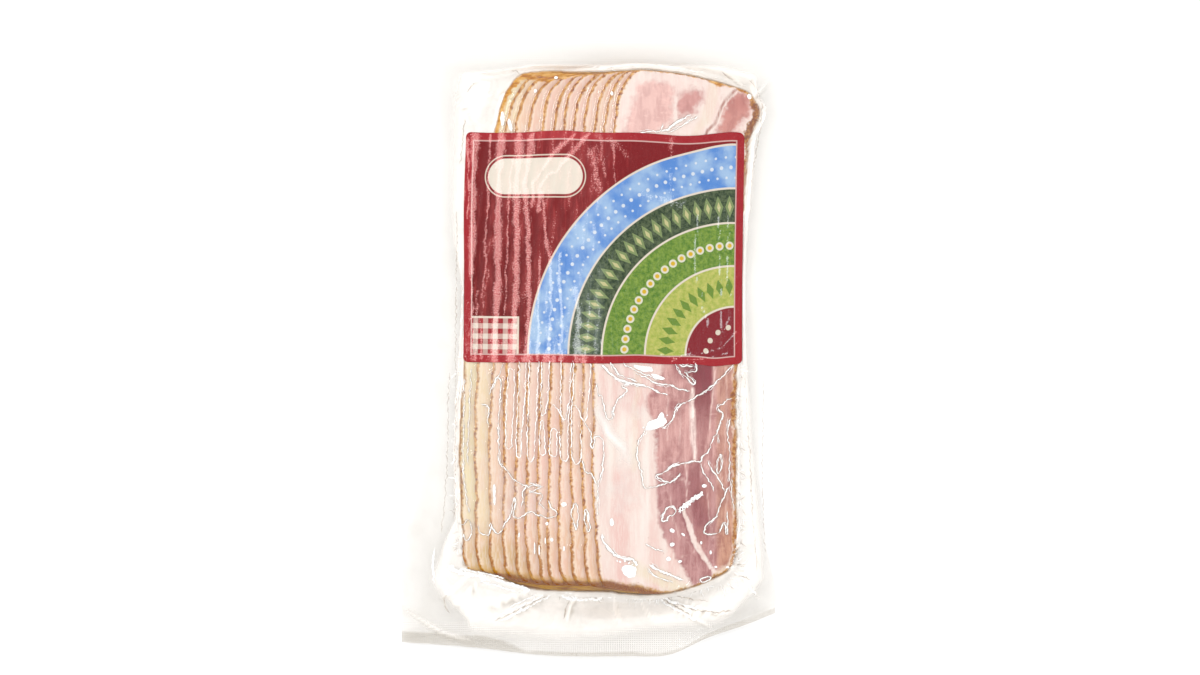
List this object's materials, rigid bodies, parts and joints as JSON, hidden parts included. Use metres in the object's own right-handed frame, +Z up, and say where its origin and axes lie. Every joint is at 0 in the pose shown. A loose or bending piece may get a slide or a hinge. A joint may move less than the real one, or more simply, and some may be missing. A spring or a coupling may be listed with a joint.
{
  "type": "vacuum pack of sliced bacon",
  "caption": "Flat clear vacuum pack of thin shingled bacon slices with a printed label across its face and a wide wavy sealed rim.",
  "frame": {"origin": "centre of the underside, on the surface the pack lies on", "axes": "+Y along the pack towards its top end, +X across it to the right as the label is seen, +Z up out of the label"},
  "size_m": [0.1604, 0.2598, 0.0165],
  "materials": {
    "film_and_bacon": "clear glossy film drawn tight over cream and pink cured meat",
    "label_print": "satin printed sheet with soft creases",
    "film": "clear glossy laminated film",
    "bacon": "moist cured meat, cream fat and pink lean with brown smoked edges"
  },
  "bodies": {
    "root": {"film_pack": "film_and_bacon", "label": "label_print"}
  },
  "joints": []
}
